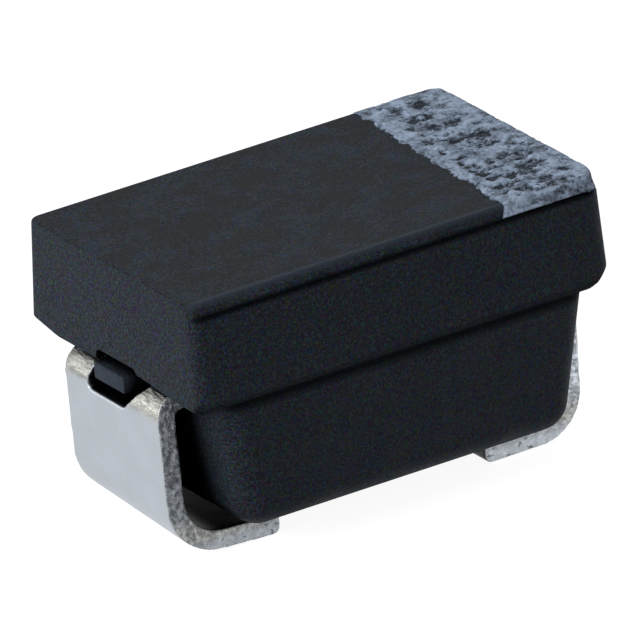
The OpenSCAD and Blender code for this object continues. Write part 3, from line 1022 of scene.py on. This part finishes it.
class CHIP_OT_leads(bpy.types.Operator):
    """Models the two bent terminals of the lead frame."""

    bl_idname = "chip.leads"
    bl_label = "Lead frame"

    def execute(self, context):
        sizes, colours = context.scene.chip_leads, context.scene.chip_colours
        # The cathode's cut edges are painted darker than the anode's: painted shade on sheet of the same
        # metal.
        bright = tinned_sheet("tinned_sheet", colours.tin, shade(colours.sheared, 1.3), 1.0)
        dull_and_shaded = tinned_sheet("tinned_sheet_dull_edge", colours.tin, colours.sheared, 0.55)
        low, high = bench_box("anode_terminal")
        parting_z, sheet = high.z, sizes.sheet * BENCH

        def tab(bender):
            bender.run(bender.place.x - low.x)

        anode = lead(sizes, "anode lead", sizes.foot_length, sizes.foot_bend, sizes.anode_sag,
                     ANODE_TAB_WIDTH, tab)
        weather(anode, sizes, parting_z, 1)
        deliver(anode, "anode_lead", "anode_terminal", bright, -sizes.offset)

        paddle_z = bench_box("silver_adhesive")[0].z - sheet / 2
        paddle_x = -bench_box("cathode_terminal")[1].x
        jog_angle, jog_radius = math.radians(70), 0.03
        jog_mid = jog_radius + sheet / 2

        def paddle(bender):
            bender.run(bender.place.x - PADDLE_TURN_X)
            drop = bender.place.z - paddle_z - 2 * jog_mid * (1 - math.cos(jog_angle))
            bender.bend(jog_angle, jog_radius, 6)
            bender.run(drop / math.sin(jog_angle))
            bender.bend(-jog_angle, jog_radius, 6)
            bender.run(bender.place.x - paddle_x)

        cathode = lead(sizes, "cathode lead", sizes.cathode_foot, sizes.cathode_bend, 0,
                       CATHODE_TAB_WIDTH, paddle)
        pick_all(cathode)
        bpy.ops.transform.resize(value=(-1, 1, 1), center_override=(0, 0, 0))
        normals_out(cathode)
        weather(cathode, sizes, parting_z, -1)
        half_width = sizes.width * BENCH / 2
        weigh(cathode, "skewed", lambda p, n: (p.y + half_width) / half_width / 2 * ramp(-p.x, 0.6, 0.9)
              * (1 - p.z / parting_z))
        swell(cathode, sizes.skew * BENCH, "skewed", "Z")
        deliver(cathode, "cathode_lead", "cathode_terminal", dull_and_shaded, -sizes.offset)
        return {"FINISHED"}


# ---- Element inside the case ----


class CHIP_OT_element(bpy.types.Operator):
    """Finishes the pellet, its coats, the wire, the washer and the weld, which keep their CAD shapes."""

    bl_idname = "chip.element"
    bl_label = "Capacitor element"

    def execute(self, context):
        for name, finish in HIDDEN_NODES.items():
            material = bpy.data.materials.get(finish) or grained_finish(finish, *HIDDEN_FINISHES[finish])
            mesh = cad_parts[name].data
            mesh.materials.clear()
            mesh.materials.append(material)
        return {"FINISHED"}


# ---- Stage ----


# Each lamp's name, the setting with its strength, its place and its size, in metres.
LAMPS = (
    ("key", "key", (-0.0125, -0.0015, 0.006), 0.007),
    ("overhead", "top", (0.003, 0.005, 0.014), 0.010),
    ("rim", "rim", (-0.009, 0.011, 0.003), 0.006),
)
# What the camera looks at, on the bench.
TARGET = (-0.0216, 0, 0.6794)
# Grey of the floor as the lamps light it, and the white that is seen on it besides.
FLOOR_GREY, FLOOR_WHITE = 0.4, 0.93


def put(name, data):
    """A new object in the scene with this data."""
    holder = bpy.data.objects.new(name, data)
    bpy.context.scene.collection.objects.link(holder)
    return holder


def soft_box(name, place, size, strength):
    """A square lamp that points at the middle of the object; strength is its radiance."""
    lamp = bpy.data.lights.new(name, "AREA")
    lamp.shape = "SQUARE"
    lamp.size = size
    lamp.energy = strength * size * size * math.pi
    holder = put(name, lamp)
    holder.location = place
    middle = Vector((0, 0, cad_high.z / 2))
    holder.rotation_euler = (middle - Vector(place)).to_track_quat("-Z", "Y").to_euler()


def camera_with_roll(stage):
    """A long lens at the stage's azimuth, elevation and roll."""
    a, e, r = stage.azimuth, stage.elevation, stage.roll
    back = Vector((math.sin(a) * math.cos(e), -math.cos(a) * math.cos(e), math.sin(e)))
    right = Vector((math.cos(a), math.sin(a), 0))
    up = back.cross(right)
    right, up = right * math.cos(r) - up * math.sin(r), right * math.sin(r) + up * math.cos(r)
    target = Vector(TARGET) / BENCH
    data = bpy.data.cameras.new("camera")
    data.sensor_width = 36
    data.lens = data.sensor_width * stage.distance / stage.view_width
    data.clip_start, data.clip_end = 0.001, 10
    holder = put("camera", data)
    turn = Matrix((right, up, back)).transposed().to_4x4()
    holder.matrix_world = Matrix.Translation(target + back * stage.distance) @ turn
    bpy.context.scene.camera = holder


def seen_white(tree, surface_shader, strength):
    """Adds white for camera, glossy and transmission rays."""
    path = node(tree, "ShaderNodeLightPath")
    seen = most(tree, *(path.outputs[f"Is {kind} Ray"] for kind in ("Camera", "Glossy", "Transmission")))
    white = node(tree, "ShaderNodeEmission", {"Color": (1, 1, 1, 1), "Strength": times(tree, seen, strength)})
    return node(tree, "ShaderNodeAddShader", {0: surface_shader, 1: white.outputs[0]}).outputs[0]


class CHIP_OT_stage(bpy.types.Operator):
    """Sets the floor, the lamps and the camera."""

    bl_idname = "chip.stage"
    bl_label = "Studio"

    def execute(self, context):
        stage = context.scene.chip_stage
        start_clean()
        bpy.ops.mesh.primitive_plane_add(size=0.4, location=(0, 0, 0))
        floor = context.object
        floor.name = floor.data.name = "floor"
        material = bpy.data.materials.new("floor_paper")
        tree = empty_tree(material)
        paper = node(tree, "ShaderNodeBsdfDiffuse", {"Color": opaque((FLOOR_GREY,) * 3)})
        node(tree, "ShaderNodeOutputMaterial", {"Surface": seen_white(tree, paper.outputs[0], FLOOR_WHITE)})
        floor.data.materials.append(material)

        world = bpy.data.worlds.new("studio")
        context.scene.world = world
        tree = empty_tree(world)
        sky = node(tree, "ShaderNodeBackground", {"Color": (1, 1, 1, 1), "Strength": stage.sky})
        node(tree, "ShaderNodeOutputWorld", {"Surface": seen_white(tree, sky.outputs[0], 1.0 - stage.sky)})

        for name, setting, place, size in LAMPS:
            soft_box(name, place, size, getattr(stage, setting))
        camera_with_roll(stage)
        context.scene.view_settings.view_transform = "Standard"
        return {"FINISHED"}


# ---- Panel, registration and run ----

OPERATORS = (CHIP_OT_case, CHIP_OT_mark, CHIP_OT_leads, CHIP_OT_element, CHIP_OT_stage)
SETTINGS = {
    "chip_case": ChipCaseSizes,
    "chip_leads": ChipLeadSizes,
    "chip_mark": ChipMarkSizes,
    "chip_colours": ChipColours,
    "chip_stage": ChipStage,
}


class CHIP_PT_pieces(bpy.types.Panel):
    """Lists the pieces and the sizes that a user may change."""

    bl_idname = "CHIP_PT_pieces"
    bl_label = "Chip capacitor"
    bl_space_type = "VIEW_3D"
    bl_region_type = "UI"
    bl_category = "Chip capacitor"

    def draw(self, context):
        for operator in OPERATORS:
            self.layout.operator(operator.bl_idname)
        for name, group in SETTINGS.items():
            box = self.layout.box()
            box.label(text=group.__doc__)
            for setting in group.__annotations__:
                box.prop(getattr(context.scene, name), setting)


def register():
    for cls in (*SETTINGS.values(), *OPERATORS, CHIP_PT_pieces):
        bpy.utils.register_class(cls)
    for name, group in SETTINGS.items():
        setattr(bpy.types.Scene, name, PointerProperty(type=group))


def unregister():
    for name in SETTINGS:
        delattr(bpy.types.Scene, name)
    for cls in reversed((*SETTINGS.values(), *OPERATORS, CHIP_PT_pieces)):
        bpy.utils.unregister_class(cls)


def main():
    register()
    bpy.ops.chip.case()
    bpy.ops.chip.mark()
    bpy.ops.chip.leads()
    bpy.ops.chip.element()
    bpy.ops.chip.stage()


if __name__ == "__main__":
    main()
